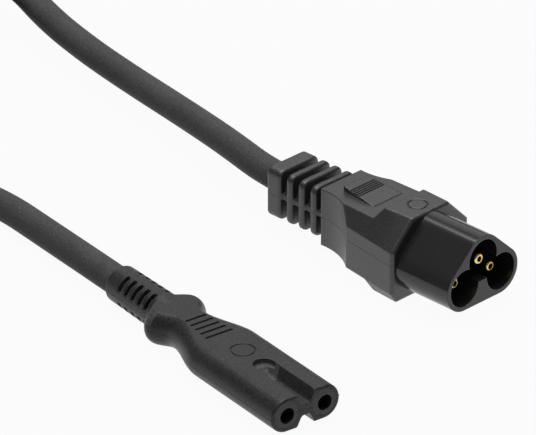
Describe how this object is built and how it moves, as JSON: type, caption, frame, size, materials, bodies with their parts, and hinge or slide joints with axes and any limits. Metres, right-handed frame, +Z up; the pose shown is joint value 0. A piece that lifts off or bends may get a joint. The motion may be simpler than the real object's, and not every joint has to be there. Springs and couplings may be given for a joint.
{
  "type": "figure eight power connector",
  "caption": "Black moulded figure-eight mains connector with keyed nose, finger grip and slotted strain relief, on a round cord that ends in a cloverleaf plug with shrouded pins.",
  "frame": {"origin": "middle of the figure-eight connector, from its front face to the back of its strain relief, on the surface that it lies on", "axes": "+X the way the figure-eight connector is pushed in, +Y to its left, +Z up"},
  "size_m": [0.2362, 0.088, 0.0168],
  "materials": {
    "overmould": "satin black PVC with a fine mould texture",
    "jacket": "satin black PVC cord jacket",
    "shroud": "smooth black hard plastic",
    "carrier": "black hard plastic",
    "pin": "bright drawn brass",
    "contact": "stamped and rolled brass",
    "line_insulation": "brown PVC",
    "neutral_insulation": "light blue PVC",
    "copper": null,
    "tie": "soft black tie band"
  },
  "bodies": {
    "root": {"connector_overmould": "overmould", "plug_overmould": "overmould", "connector_carrier": "carrier", "connector_line_contact": "contact", "connector_neutral_contact": "contact", "connector_line_core": "line_insulation", "connector_neutral_core": "neutral_insulation", "plug_line_core": "line_insulation", "plug_neutral_core": "neutral_insulation", "connector_line_strands": "copper", "connector_neutral_strands": "copper", "plug_line_strands": "copper", "plug_neutral_strands": "copper", "connector_cord": "jacket", "plug_cord": "jacket", "cord_coil": "jacket", "coil_tie": "tie", "plug_shroud": "shroud", "plug_line_pin": "pin", "plug_neutral_pin": "pin", "plug_earth_pin": "pin"}
  },
  "joints": []
}
